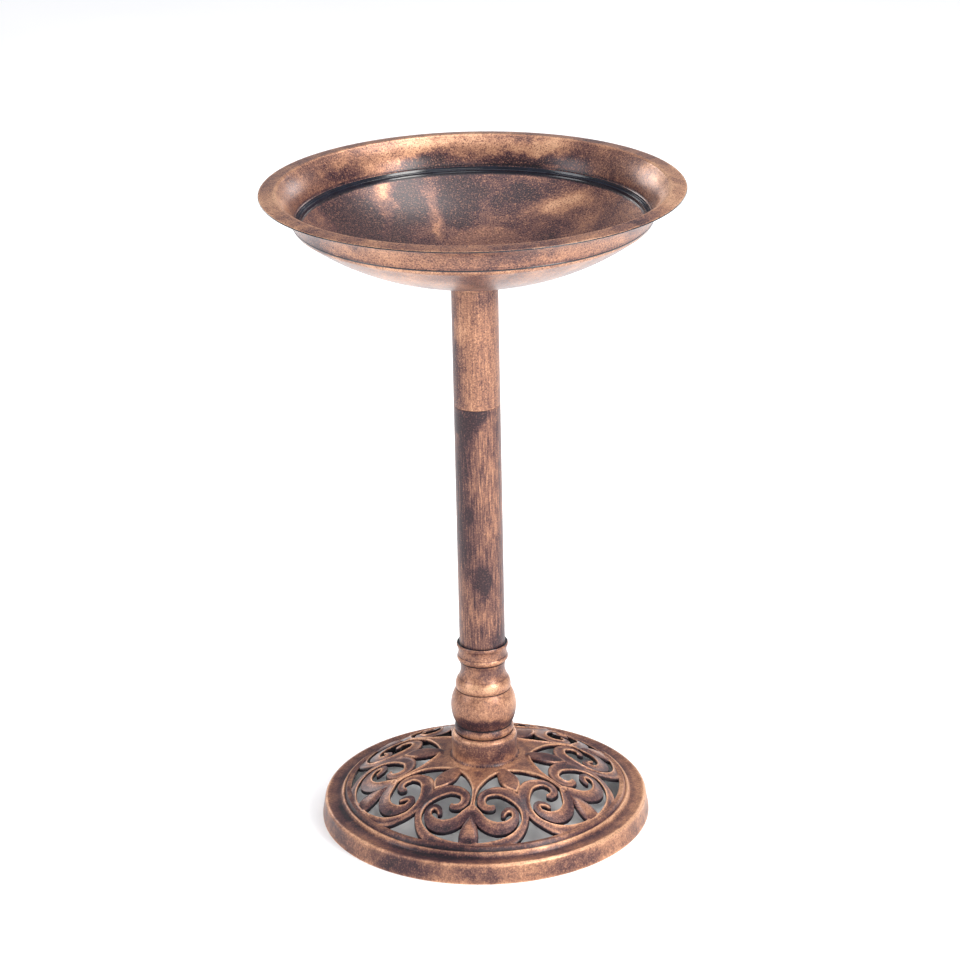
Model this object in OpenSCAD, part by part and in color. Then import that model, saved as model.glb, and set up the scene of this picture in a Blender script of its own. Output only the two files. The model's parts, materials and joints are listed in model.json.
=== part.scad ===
// Pedestal bird bath: a dished bowl that lifts off a two-section tube post,
// a turned baluster at the foot of the post and a round openwork scroll base.
// Everything below the bowl is clamped by one threaded rod inside the post.

/* [Overall] */
// Height from the ground to the crest of the bowl's rim
height = 711; // [620:1:800]
// Diameter of the bowl over its lip
bowl_d = 441; // [430:1:460]
// Diameter of the base at the ground
base_d = 358.6; // [350:0.2:370]

/* [Bowl] */
// Width of the flat lip around the rim
lip_w = 17; // [12:0.5:22]
// Depth of the flared wall between the rim and the groove
wall_h = 30.5; // [24:0.5:36]
// Half-width of the ellipse that the dish's section follows
dish_a = 250; // [225:1:300]
// Wall thickness of the dish
bowl_t = 3; // [2.4:0.1:4]
// Length of the spigot that drops into the post
spigot_l = 28; // [20:1:30]

/* [Post] */
// Outside diameter of both tubes
tube_d = 49.4; // [49:0.1:50]
// Wall thickness of both tubes
tube_t = 2.35; // [2.2:0.05:2.6]
// Height of the joint between the two tubes
tube_joint_z = 474; // [400:1:500]

/* [Base] */
// Height of the apron's outer edge
apron_h = 21.6; // [18:0.2:26]
// Height of the dome where it meets the collar
dome_h = 67; // [62:0.5:72]
// Thickness of the openwork dome
dome_t = 4.2; // [3.6:0.1:5]
// Turn of the first motif from straight ahead
motif_turn = -8; // [-30:1:30]

/* [Hidden] */
$fn = 128;

copper = "#8f5f42";
dark_copper = "#5d4337";
black = "#2b2a2e";
zinc = "#b9bbbd";

// Post
tube_r = tube_d / 2;
tube_bore = tube_r - tube_t;
fit = 0.05;
plug_r = tube_bore - fit;
edge_break = 0.4;
coupler_l = 60;
coupler_t = 3;

// Baluster: heights of its turned features, then their radii and how far each arc stands proud
bal_bottom = 96;
bal_ring_top = 105.8;
bal_bulb_top = 147.6;
bal_neck_bottom = 161;
bal_neck_top = 180.2;
bal_lip_neck = 187;
bal_lip_bottom = 197.8;
bal_top = 201.4;
bal_foot_r = 29.9;
bal_shoulder_r = 29.6;
bal_neck_r = 26.8;
bal_cavity_r = 26.5;
bal_waist_r = 25.6;
bal_lip_r = 27.7;
bal_foot_bow = 2.3;
bal_bulb_bow = 5.8;
bal_shoulder_bow = 1.5;
bal_neck_bow = 2.2;
bal_ring_bow = 1.3;
bal_lip_bow = 1;
bal_quirk = 0.6;
bal_floor = 181;
bal_floor_t = 4;
bal_spigot_top = 228;
bal_spigot_bore = 16.5;
bal_bulb_bore = 31;

// Bowl
seat_z = height - 99;
crest_r = bowl_d / 2 - lip_w;
crest_w = 5;
crest_drop = 1.9;
lip_drop = 1.6;
lip_t = 1.3;
wall_bow = 2.5;
groove_z = height - wall_h;
groove_r = crest_r - 20;
groove_w = 5.3;
groove_d = 2.3;
dish_edge_r = groove_r - groove_w;
dish_edge_z = groove_z - 6.3;
dish_floor_z = seat_z + 6.3;
dish_b = (dish_edge_z - dish_floor_z) / (1 - sqrt(1 - pow(dish_edge_r / dish_a, 2)));
seat_r = tube_r + 0.6;
socket_gap = 0.4;
spigot_r = 19;
spigot_t = 3;

// Bowl socket in the top of the upper tube
flange_t = 2.5;
socket_bore = spigot_r + socket_gap;
socket_floor_z = seat_z - 44;
socket_floor_t = 8;
chamfer = 1;

// Clamping rod, washers and nuts
rod_r = 4;
rod_hole = 4.5;
washer_r = 12;
washer_t = 2;
washer_gap = 0.2;
nut_af = 13;
nut_h = 6.5;
nut_r = nut_af / 2 / cos(30);
thread_gap = 0.02;
rod_tail = 2.5;
hub_plate_t = 4;
hub_under_z = bal_bottom - hub_plate_t;
rod_bottom = hub_under_z - washer_t - nut_h - rod_tail;
rod_top = socket_floor_z + washer_t + nut_h + rod_tail;

// Base
base_r = base_d / 2;
foot_w = 4.8;
foot_h = 2;
apron_r = base_r - 2.8;
apron_round = 4;
apron_drop = 3.4;
skin_t = 4.5;
open_r = base_r - 32.3;
bead_r = open_r + 9.6;
bead_h = 2.8;
rim_h = apron_h + 8.6;
dome_bow = 9.4;
dome_steps = 6;
collar_r = 35.6;
collar_t = 4;
collar_fillet = 1.6;
collar_round = 5;
collar_round_h = 7;
motifs = 6;
motif_scale = open_r / 147;
hub_plate_r = 49;
seam = 0.01;

// Points on a circular arc from p to q that stands b proud of the straight line
// (negative b is hollow), with n steps and without the last point.
function bow(p, q, b, n) =
    let (
        d = q - p,
        len = norm(d),
        side = [d[1], -d[0]] / len,
        r = (pow(len / 2, 2) + b * b) / (2 * abs(b)),
        half = asin(min(1, len / 2 / r)),
        mid = (p + q) / 2
    )
    [for (i = [0 : n - 1])
        let (
            a = half * (2 * i / n - 1),
            along = r * sin(a),
            rise = r * cos(a) - r * cos(half)
        )
        mid + d / len * along + side * rise * sign(b)];

// Smooth curve through points [x, v, w], k steps from each point to the next.
function blend(a, b, c, d, t) =
    (2 * b + (c - a) * t + (2 * a - 5 * b + 4 * c - d) * t * t
     + (3 * b - a - 3 * c + d) * t * t * t) / 2;
function curve(p, k) =
    let (m = len(p) - 1)
    [for (i = [0 : m - 1])
        for (j = [0 : k - 1 + (i == m - 1 ? 1 : 0)])
            blend(p[max(i - 1, 0)], p[i], p[i + 1], p[min(i + 2, m)], j / k)];

// Direction across a path at its point i.
function across(p, i) =
    let (
        m = len(p) - 1,
        d = p[min(i + 1, m)] - p[max(i - 1, 0)],
        l = norm([d[0], d[1]])
    )
    [-d[1] / l, d[0] / l];

// Flat band along a path of [x, v, width] points, with a round end.
module band(path, steps = 3) {
    p = curve(path, steps);
    m = len(p) - 1;
    left = [for (i = [0 : m]) [p[i][0], p[i][1]] + across(p, i) * p[i][2] / 2];
    right = [for (i = [m : -1 : 0]) [p[i][0], p[i][1]] - across(p, i) * p[i][2] / 2];
    polygon(concat(left, right));
    translate([p[m][0], p[m][1]]) circle(d = p[m][2], $fn = 12);
}

// Half of one scroll motif. x runs sideways from the leaf and v runs out from the
// middle of the base; each point is [x, v, width of the band].
outer_scroll = [[0, 151, 9], [20, 148, 9], [38, 141.5, 9.5], [50.5, 131.5, 9.5], [57, 118, 8],
                [57, 106, 9], [52, 94, 12], [40, 83.5, 15], [25, 79, 14.5], [11.5, 85.5, 11.5],
                [8.5, 96.5, 10], [13, 104, 8.5], [20, 105, 7], [22.5, 103.5, 6]];
inner_scroll = [[1, 107, 8], [6, 114.5, 11], [15, 124, 12.5], [28, 127.5, 13], [40, 123.5, 12],
                [47, 113.5, 8.5], [45.5, 105, 8], [40, 103, 7.5], [35.5, 107, 6.5], [34, 112, 5.5]];
spine = [[0, 44, 56], [0, 53, 31], [0, 64, 18.5], [0, 75, 9.5], [0, 86, 5.5], [0, 97, 4.5], [0, 110, 8]];
leaf = [[0, 115, 1], [0, 122, 8], [0, 131, 17], [0, 139, 21.5], [0, 148, 20]];
lobe = [[0, 52, 14], [0, 58, 17], [0, 66, 21], [0, 74, 19], [0, 82, 10], [0, 89, 1]];

module flipped(path) {
    mirror([0, 1]) band(path);
}

module scroll_motif() {
    for (side = [0, 1]) {
        mirror([side, 0]) {
            flipped(outer_scroll);
            flipped(inner_scroll);
        }
    }
    flipped(spine);
    flipped(leaf);
    rotate(180 / motifs) flipped(lobe);
}

// Plan of the openwork between the collar and the rim.
module openwork_plan() {
    offset(delta = seam) {
        for (i = [0 : motifs - 1]) {
            rotate(motif_turn + i * 360 / motifs) scale(motif_scale) scroll_motif();
        }
        circle(r = hub_plate_r * motif_scale, $fn = 96);
        difference() {
            circle(r = base_r + 5, $fn = 96);
            circle(r = open_r, $fn = 144);
        }
    }
}

// Section of the base: ground ring, apron, rim channel, bead, dome and collar.
module base_section() {
    dome_out = [open_r + 0.5, rim_h];
    dome_in = [collar_r + collar_fillet, dome_h];
    drop = [0, dome_t + 0.4];
    under_dome = bow(dome_out - drop, dome_in - drop, dome_bow, dome_steps);
    apron_edge = [apron_r - apron_round, apron_h];
    channel_in = [bead_r + 1.8, apron_h + 0.2];
    bead_out = [bead_r + 1.2, apron_h + bead_h];
    bead_in = [bead_r - 2, apron_h + bead_h + 1.2];
    collar_top = [collar_r - collar_round, bal_bottom];
    outside = concat(
        [[base_r, 0], [base_r, foot_h]],
        bow([apron_r, apron_h - apron_drop], apron_edge, 1.1, 5),
        bow(apron_edge, channel_in, -0.9, 5),
        bow(bead_out, bead_in, 1, 4),
        [bead_in + [-0.6, 0.2]],
        bow(dome_out, dome_in, dome_bow, dome_steps),
        bow(dome_in, [collar_r, dome_h + 4], -0.5, 4),
        [[collar_r, dome_h + 4]],
        bow([collar_r, bal_bottom - collar_round_h], collar_top, 1.6, 6),
        [collar_top, [rod_hole, bal_bottom]]
    );
    inside = concat(
        [[rod_hole, hub_under_z], [collar_r - collar_t, hub_under_z]],
        [[collar_r - collar_t, dome_h - 2]],
        [for (i = [dome_steps - 1 : -1 : 1]) under_dome[i]],
        [dome_out - drop, [bead_r - 2, apron_h - 1.5], [bead_r + 4, apron_h - skin_t]],
        [[apron_r - 8, apron_h - skin_t], [base_r - 6, apron_h - 7], [base_r - foot_w, 0]]
    );
    polygon(concat(outside, inside));
}

module base() {
    color(copper)
    intersection() {
        rotate_extrude() base_section();
        linear_extrude(bal_bottom + 1) openwork_plan();
    }
}

// Turned outline of the baluster from its foot to its lip; a quirk is the small step
// between two turned features.
module baluster_section() {
    bore = tube_r + 0.1;
    outside = concat(
        bow([bal_foot_r, bal_bottom], [bal_foot_r, bal_ring_top], bal_foot_bow, 8),
        bow([bal_foot_r, bal_ring_top + 0.2], [bal_foot_r - 0.3, bal_bulb_top], bal_bulb_bow, 16),
        [[bal_shoulder_r - bal_quirk, bal_bulb_top + 0.3]],
        bow([bal_shoulder_r, bal_bulb_top + 0.7], [bal_neck_r, bal_neck_bottom], bal_shoulder_bow, 8),
        bow([bal_neck_r, bal_neck_bottom], [bal_waist_r, bal_neck_top], -bal_neck_bow, 10),
        [[bal_waist_r - 0.3, bal_neck_top + 0.4]],
        bow([bal_waist_r + 0.3, bal_neck_top + 0.8], [bal_waist_r + 1.3, bal_lip_neck], bal_ring_bow, 8),
        bow([bal_waist_r + 1.3, bal_lip_neck], [bal_lip_r, bal_lip_bottom], -bal_lip_bow, 8),
        bow([bal_lip_r, bal_lip_bottom], [bal_lip_r - 0.4, bal_top], 0.5, 5),
        [[bal_lip_r - 0.4, bal_top]]
    );
    inside = [
        [bore, bal_top], [bore, bal_floor], [plug_r, bal_floor],
        [plug_r, bal_spigot_top - 2], [plug_r - 2, bal_spigot_top],
        [bal_spigot_bore, bal_spigot_top], [bal_spigot_bore, bal_floor - 8],
        [bal_cavity_r, bal_bulb_top - 6], [bal_bulb_bore, bal_bulb_top - 18],
        [bal_bulb_bore - 1, bal_ring_top + 6], [bal_cavity_r - 0.5, bal_bottom + bal_floor_t],
        [rod_hole, bal_bottom + bal_floor_t], [rod_hole, bal_bottom]
    ];
    polygon(concat(outside, inside));
}

module baluster() {
    color(copper) rotate_extrude() baluster_section();
}

// Tube with softly broken edges at both ends.
module tube(bottom, top, outer, bore) {
    rotate_extrude()
    polygon([
        [bore, bottom], [outer - edge_break, bottom], [outer, bottom + edge_break],
        [outer, top - edge_break], [outer - edge_break, top], [bore, top]
    ]);
}

module lower_tube() {
    color(copper) tube(bal_floor, tube_joint_z, tube_r, tube_bore);
}

module upper_tube() {
    color(copper) tube(tube_joint_z, seat_z - flange_t, tube_r, tube_bore);
}

module tube_coupler() {
    half = coupler_l / 2;
    color(black) tube(tube_joint_z - half, tube_joint_z + half, plug_r, plug_r - coupler_t);
}

// Plug in the top of the post, with a flange on the tube and a socket for the bowl.
module bowl_socket() {
    floor_bottom = socket_floor_z - socket_floor_t;
    color(dark_copper)
    rotate_extrude()
    polygon([
        [rod_hole, floor_bottom], [plug_r - chamfer, floor_bottom], [plug_r, floor_bottom + chamfer],
        [plug_r, seat_z - flange_t], [tube_r, seat_z - flange_t], [tube_r, seat_z - edge_break],
        [tube_r - edge_break, seat_z], [socket_bore + chamfer, seat_z], [socket_bore, seat_z - chamfer],
        [socket_bore, socket_floor_z], [rod_hole, socket_floor_z]
    ]);
}

// Height of the dish's inner surface at radius r, and how far down its outer surface is.
function dish_z(r) = dish_floor_z + dish_b * (1 - sqrt(1 - pow(r / dish_a, 2)));
function dish_slope(r) = dish_b * r / pow(dish_a, 2) / sqrt(1 - pow(r / dish_a, 2));
function skin(r) = bowl_t * sqrt(1 + pow(dish_slope(r), 2));

module bowl_section() {
    steps = 18;
    lip_r = bowl_d / 2;
    crest_in = [crest_r - crest_w / 2, height - crest_drop];
    crest_out = [crest_r + crest_w / 2, height - 0.14];
    wall_foot = [groove_r + 0.8, groove_z + 0.6];
    wall = bow(crest_in, wall_foot, wall_bow, 10);
    under_lip = [crest_r + 1.8, height - 4.4];
    heel = [groove_r + 3.6, groove_z - 0.6];
    ledge_z = groove_z - groove_d;
    spigot_z = seat_z - spigot_l;
    inside = concat(
        [for (i = [0 : steps]) let (r = dish_edge_r * i / steps) [r, dish_z(r)]],
        [[dish_edge_r + 0.5, dish_edge_z + 1], [dish_edge_r + 0.8, ledge_z - 0.2]],
        [[dish_edge_r + 1.3, ledge_z], [groove_r - 0.3, ledge_z - 0.3], [groove_r, groove_z]],
        [wall_foot],
        [for (i = [9 : -1 : 1]) wall[i]],
        bow(crest_in, crest_out, -0.8, 5),
        bow(crest_out, [lip_r - 0.4, height - lip_drop], -0.2, 5)
    );
    outside = concat(
        [[lip_r, height - lip_drop - 0.4], [lip_r, height - lip_drop - 1.2]],
        [[lip_r - 0.8, height - lip_drop - 1.6], [crest_r + 4, height - lip_t - 1.4]],
        bow(under_lip, heel, wall_bow, 10),
        [heel, heel + [0.2, -0.4], heel + [-0.2, -1.6], heel + [-1.4, -3.9]],
        [[groove_r - 0.6, dish_edge_z - 0.6]],
        [for (i = [steps : -1 : 3]) let (r = dish_edge_r * i / steps) [r, dish_z(r) - skin(r)]],
        [[seat_r, dish_z(seat_r) - skin(seat_r)], [seat_r, seat_z], [spigot_r, seat_z]],
        [[spigot_r, spigot_z + 1.5], [spigot_r - 1.5, spigot_z], [spigot_r - spigot_t, spigot_z]],
        [[spigot_r - spigot_t, seat_z + chamfer], [0, seat_z + chamfer]]
    );
    polygon(concat(inside, outside));
}

module bowl() {
    color(copper) rotate_extrude() bowl_section();
}

// Threaded rod, drawn at its thread's outside diameter.
module tie_rod() {
    color(zinc)
    rotate_extrude()
    polygon([
        [0, rod_bottom], [rod_r - chamfer, rod_bottom], [rod_r, rod_bottom + chamfer],
        [rod_r, rod_top - chamfer], [rod_r - chamfer, rod_top], [0, rod_top]
    ]);
}

module washer(z) {
    translate([0, 0, z])
    difference() {
        cylinder(r = washer_r, h = washer_t);
        translate([0, 0, -1]) cylinder(r = rod_r + washer_gap, h = washer_t + 2);
    }
}

module rod_washers() {
    color(zinc) {
        washer(hub_under_z - washer_t);
        washer(socket_floor_z);
    }
}

module nut(z) {
    translate([0, 0, z])
    difference() {
        cylinder(r = nut_r, h = nut_h, $fn = 6);
        translate([0, 0, -1]) cylinder(r = rod_r + thread_gap, h = nut_h + 2);
    }
}

module rod_nuts() {
    color(zinc) {
        nut(hub_under_z - washer_t - nut_h);
        nut(socket_floor_z + washer_t);
    }
}

base();
baluster();
lower_tube();
tube_coupler();
upper_tube();
bowl_socket();
bowl();
tie_rod();
rod_washers();
rod_nuts();
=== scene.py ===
"""Looks of a pedestal bird bath: lathe-turned copper-finished plastic and a relief scroll base."""
import json
import math
import bmesh
import bpy
import numpy as np
from mathutils import Matrix, Vector, geometry


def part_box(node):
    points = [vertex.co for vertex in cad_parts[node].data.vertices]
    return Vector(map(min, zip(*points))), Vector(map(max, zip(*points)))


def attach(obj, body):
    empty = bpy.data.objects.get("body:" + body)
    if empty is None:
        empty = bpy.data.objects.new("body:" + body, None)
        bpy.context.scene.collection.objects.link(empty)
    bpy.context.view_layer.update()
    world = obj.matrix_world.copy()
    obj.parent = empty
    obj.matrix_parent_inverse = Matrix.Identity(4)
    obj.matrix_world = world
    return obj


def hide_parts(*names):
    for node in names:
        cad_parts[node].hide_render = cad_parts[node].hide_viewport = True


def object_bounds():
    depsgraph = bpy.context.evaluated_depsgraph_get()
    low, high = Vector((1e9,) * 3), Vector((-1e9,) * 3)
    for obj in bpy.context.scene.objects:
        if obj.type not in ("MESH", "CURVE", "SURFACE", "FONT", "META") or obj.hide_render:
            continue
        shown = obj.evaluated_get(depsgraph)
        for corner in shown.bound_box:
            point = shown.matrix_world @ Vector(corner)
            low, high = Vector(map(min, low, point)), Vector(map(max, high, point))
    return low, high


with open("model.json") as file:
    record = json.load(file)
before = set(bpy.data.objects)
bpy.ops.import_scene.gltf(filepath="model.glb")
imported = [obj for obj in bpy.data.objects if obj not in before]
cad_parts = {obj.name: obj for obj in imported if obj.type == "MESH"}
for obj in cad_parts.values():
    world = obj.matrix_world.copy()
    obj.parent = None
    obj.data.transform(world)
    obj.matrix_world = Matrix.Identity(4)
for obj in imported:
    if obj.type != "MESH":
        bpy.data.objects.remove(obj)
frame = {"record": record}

CAD_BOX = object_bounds()
MM = 0.001
BODY_OF = {node: body for body, nodes in frame["record"]["behaviour"]["bodies"].items() for node in nodes}


def span(node, axis):
    """Lowest and highest place of a node along an axis, in millimetres."""
    low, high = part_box(node)
    return low[axis] / MM, high[axis] / MM


# ---- driving sizes, in millimetres
HEIGHT = CAD_BOX[1][2] / MM
BOWL_R = span("bowl", 0)[1]
BASE_R = span("base", 0)[1]
TUBE_R = span("lower_tube", 0)[1]
FIT = 0.05  # gap between a plug and the tube's bore
TUBE_BORE = span("tube_coupler", 0)[1] + FIT
FOOT_Z, SPIGOT_TOP = span("baluster", 2)
SOCKET_BOTTOM, SEAT_Z = span("bowl_socket", 2)
TUBE_FOOT_Z = span("lower_tube", 2)[0]
LIP_TOP = 201.4  # top of the baluster's lip, round the tube
SPIGOT_BOTTOM = span("bowl", 2)[0]
ROD_BOTTOM, ROD_TOP = span("tie_rod", 2)
ROD_R = span("tie_rod", 0)[1]
ROD_HOLE = 4.5


# ---- outlines
def arc(p, q, sag, steps):
    """Points on a circular arc from p to q that stands sag proud of the chord, without q."""
    p, q = np.array(p, float), np.array(q, float)
    chord = q - p
    length = np.linalg.norm(chord)
    side = np.array([chord[1], -chord[0]]) / length
    radius = (length * length / 4 + sag * sag) / (2 * abs(sag))
    half = math.asin(min(1.0, length / 2 / radius))
    out = []
    for i in range(steps):
        a = half * (2 * i / steps - 1)
        rise = radius * (math.cos(a) - math.cos(half)) * math.copysign(1, sag)
        out.append(tuple((p + q) / 2 + chord / length * radius * math.sin(a) + side * rise))
    return out


def densify(outline, step, closed=True):
    """Split every stretch longer than step; a closed outline comes back to its first point."""
    out = []
    for p, q in zip(outline, outline[1:] + outline[:1] * closed):
        count = max(1, math.ceil(math.dist(p[:2], q[:2]) / step))
        for i in range(count):
            t = i / count
            out.append((p[0] + (q[0] - p[0]) * t, p[1] + (q[1] - p[1]) * t))
    return out


def profile_turns(outline, reach):
    """How sharply a closed outline turns out (edge) and in (recess) within reach of each point."""
    pts = np.array(outline)
    n = len(pts)
    step = np.linalg.norm(np.roll(pts, -1, 0) - pts, axis=1)
    place = np.concatenate([[0], np.cumsum(step)])
    total = place[-1]
    place = place[:-1]

    def at(s):
        s = np.mod(s, total)
        x = np.interp(s, np.append(place, total), np.append(pts[:, 0], pts[0, 0]))
        y = np.interp(s, np.append(place, total), np.append(pts[:, 1], pts[0, 1]))
        return np.stack([x, y], 1)

    before, after = pts - at(place - reach), at(place + reach) - pts
    cross = before[:, 0] * after[:, 1] - before[:, 1] * after[:, 0]
    dot = (before * after).sum(1)
    turn = np.arctan2(cross, dot)
    area = 0.5 * np.sum(pts[:, 0] * np.roll(pts[:, 1], -1) - np.roll(pts[:, 0], -1) * pts[:, 1])
    turn *= math.copysign(1, area)
    sharp = 0.9  # radians
    return np.clip(turn / sharp, 0, 1), np.clip(-turn / sharp, 0, 1)


# ---- mesh building
def make_piece(name, verts_mm, faces, materials, slots=None, edge=None, recess_and_shade=None, node=None, crease=38):
    """Mesh object from points in millimetres, riding with its CAD node and standing for it."""
    mesh = bpy.data.meshes.new(name)
    mesh.from_pydata([tuple(v * MM for v in p) for p in verts_mm], [], faces)
    for material in materials:
        mesh.materials.append(material)
    if slots is not None:
        mesh.polygons.foreach_set("material_index", slots)
    for label, values in (("edge", edge), ("recess_and_shade", recess_and_shade)):
        if values is not None:
            layer = mesh.attributes.new(label, "FLOAT", "POINT")
            layer.data.foreach_set("value", np.asarray(values, np.float32))
    mesh.polygons.foreach_set("use_smooth", [True] * len(mesh.polygons))
    mesh.set_sharp_from_angle(angle=math.radians(crease))
    mesh.update()
    piece = bpy.data.objects.new(name, mesh)
    bpy.context.scene.collection.objects.link(piece)
    if node:
        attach(piece, BODY_OF[node])
        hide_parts(node)
    return piece


def lathe(name, outline, materials, node, segments=192, step=2.5, reach=1.2, bare=None, crease=38):
    """Solid of revolution from a closed outline of (radius, height); bare(r, z) picks material 1."""
    pts = densify(outline, step)
    edge_turn, recess_turn = profile_turns(pts, reach)
    verts, edge, recess_and_shade, rings = [], [], [], []
    for (r, z), e, c in zip(pts, edge_turn, recess_turn):
        count = 1 if r < 1e-6 else segments
        rings.append(list(range(len(verts), len(verts) + count)))
        for i in range(count):
            a = 2 * math.pi * i / segments
            verts.append((r * math.cos(a), r * math.sin(a), z))
        edge += [e] * count
        recess_and_shade += [c] * count
    faces, slots = [], []
    for k, (low, high) in enumerate(zip(rings, rings[1:] + rings[:1])):
        if len(low) == 1 and len(high) == 1:
            continue
        mid_r = (pts[k][0] + pts[(k + 1) % len(pts)][0]) / 2
        mid_z = (pts[k][1] + pts[(k + 1) % len(pts)][1]) / 2
        slot = 1 if bare and bare(mid_r, mid_z) else 0
        for i in range(segments):
            j = (i + 1) % segments
            if len(low) == 1:
                face = (low[0], high[j], high[i])
            elif len(high) == 1:
                face = (low[i], low[j], high[0])
            else:
                face = (low[i], low[j], high[j], high[i])
            faces.append(face)
            slots.append(slot)
    area = sum(p[0] * q[1] - q[0] * p[1] for p, q in zip(pts, pts[1:] + pts[:1]))
    if area < 0:
        faces = [tuple(reversed(f)) for f in faces]
    return make_piece(name, verts, faces, materials, slots, edge, recess_and_shade, node, crease)


# ---- materials
class Nodes:
    """Small helper that adds and joins shader nodes."""

    def __init__(self, name):
        self.material = bpy.data.materials.new(name)
        self.material.use_nodes = True
        self.tree = self.material.node_tree
        self.shader = self.tree.nodes["Principled BSDF"]

    def add(self, kind, **values):
        node = self.tree.nodes.new(kind)
        for key, value in values.items():
            if hasattr(node, key):
                setattr(node, key, value)
            else:
                node.inputs[key.replace("_", " ")].default_value = value
        return node

    def link(self, out, into):
        self.tree.links.new(out, into)

    def feed(self, label, value):
        """Join a socket to an input of the shader, or give the input a plain value."""
        if isinstance(value, bpy.types.NodeSocket):
            self.link(value, self.shader.inputs[label])
        else:
            self.shader.inputs[label].default_value = value

    def math(self, operation, a, b=0.0, clamp=False):
        node = self.tree.nodes.new("ShaderNodeMath")
        node.operation = operation
        node.use_clamp = clamp
        for socket, value in zip(node.inputs, (a, b)):
            if isinstance(value, (int, float)):
                socket.default_value = value
            else:
                self.link(value, socket)
        return node.outputs[0]

    def swing(self, value, gain):
        """How far a value between 0 and 1 lies from its middle, times a gain."""
        return self.math("MULTIPLY", self.math("SUBTRACT", value, 0.5), gain)

    def noise(self, place, scale, detail=2.0, rough=0.5, distortion=0.0):
        node = self.add("ShaderNodeTexNoise", Scale=scale, Detail=detail, Roughness=rough)
        node.inputs["Distortion"].default_value = distortion
        self.link(place, node.inputs["Vector"])
        return node.outputs["Fac"]

    def ramp(self, value, stops):
        node = self.tree.nodes.new("ShaderNodeValToRGB")
        ramp = node.color_ramp
        while len(ramp.elements) < len(stops):
            ramp.elements.new(0.5)
        for element, (place, colour) in zip(ramp.elements, stops):
            element.position = place
            element.color = (*colour, 1.0)
        self.link(value, node.inputs["Fac"])
        return node.outputs["Color"]

    def place(self):
        return self.tree.nodes.new("ShaderNodeTexCoord").outputs["Object"]

    def length(self, vector):
        node = self.tree.nodes.new("ShaderNodeVectorMath")
        node.operation = "LENGTH"
        self.link(vector, node.inputs[0])
        return node.outputs["Value"]

    def fade(self, value, start, end, at_start, at_end):
        """Smooth change from at_start to at_end while a value runs from start to end."""
        node = self.add("ShaderNodeMapRange", interpolation_type="SMOOTHSTEP")
        self.link(value, node.inputs["Value"])
        labels = ("From Min", "From Max", "To Min", "To Max")
        for label, setting in zip(labels, (start, end, at_start, at_end)):
            node.inputs[label].default_value = setting
        return node.outputs["Result"]

    def bump(self, height, strength, distance):
        node = self.add("ShaderNodeBump", Strength=strength, Distance=distance)
        self.link(height, node.inputs["Height"])
        self.link(node.outputs["Normal"], self.shader.inputs["Normal"])

    def scaled(self, place, scale, offset=(0, 0, 0)):
        node = self.tree.nodes.new("ShaderNodeMapping")
        node.inputs["Scale"].default_value = scale
        node.inputs["Location"].default_value = offset
        self.link(place, node.inputs["Vector"])
        return node.outputs["Vector"]


COPPER_STOPS = [
    (0.00, (0.010, 0.007, 0.011)),
    (0.25, (0.060, 0.026, 0.032)),
    (0.50, (0.185, 0.088, 0.068)),
    (0.75, (0.430, 0.212, 0.128)),
    (1.00, (0.760, 0.440, 0.270)),
]


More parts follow.
